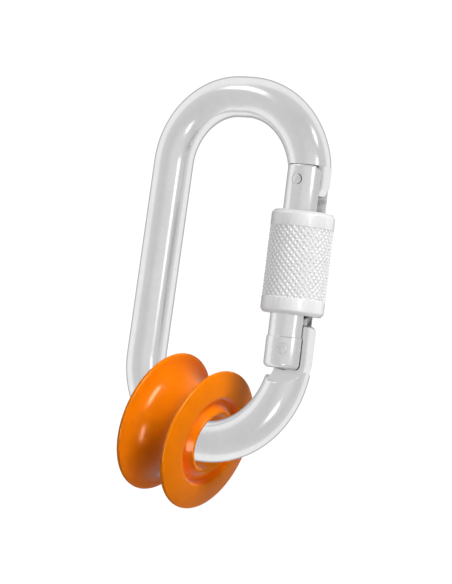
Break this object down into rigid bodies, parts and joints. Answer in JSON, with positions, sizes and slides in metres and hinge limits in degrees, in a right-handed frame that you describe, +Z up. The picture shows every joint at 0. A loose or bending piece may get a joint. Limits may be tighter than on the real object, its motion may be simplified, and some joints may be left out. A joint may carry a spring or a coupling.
{
  "type": "zip line trolley",
  "caption": "Grooved nylon sheave threaded on the bow of an oval screw-lock carabiner with a sprung gate.",
  "frame": {"origin": "top of the opening, inside the upper bow, in the frame's middle plane", "axes": "+Z up along the carabiner's long axis with the sheave at the bottom, +X from the plain side of the frame to the gate, Y across the flat of the frame"},
  "size_m": [0.0624, 0.0416, 0.1253],
  "materials": {
    "frame": "polished, lightly worn",
    "gate": "turned and polished",
    "sleeve": "satin, diamond knurl",
    "pins": "plain steel",
    "spring": "spring wire",
    "sheave": "smooth turned nylon, semi-gloss"
  },
  "bodies": {
    "frame": {"carabiner_frame": "frame"},
    "gate": {"gate_body": "gate", "hinge_rivet": "pins", "latch_pin": "pins", "gate_spring": "spring"},
    "plunger": {"spring_plunger": "pins"},
    "sleeve": {"locking_sleeve": "sleeve"},
    "sheave": {"sheave": "sheave"}
  },
  "joints": [
    {"name": "gate_hinge", "type": "hinge", "parent": "frame", "child": "gate", "pos_m": [0.0259, 0, -0.0647], "axis": [0, -1, 0], "range_deg": [0, 21], "stiffness_Nm_per_rad": 0.45, "springref_deg": -25.21},
    {"name": "plunger_slide", "type": "slide", "parent": "gate", "child": "plunger", "axis": [0, 0, 1], "range_m": [0, 0.0016], "deforming": ["gate_spring"]},
    {"name": "sleeve_slide", "type": "slide", "parent": "gate", "child": "sleeve", "axis": [0, 0, 1], "range_m": [-0.0022, 0.004]},
    {"name": "sheave_spin", "type": "hinge", "parent": "frame", "child": "sheave", "pos_m": [-0.0068, 0, -0.0914], "axis": [0.9744, 0, -0.225], "continuous": true}
  ],
  "couplings": [
    {"joint": "plunger_slide", "follows": "gate_hinge", "m_per_rad": 0.004}
  ]
}
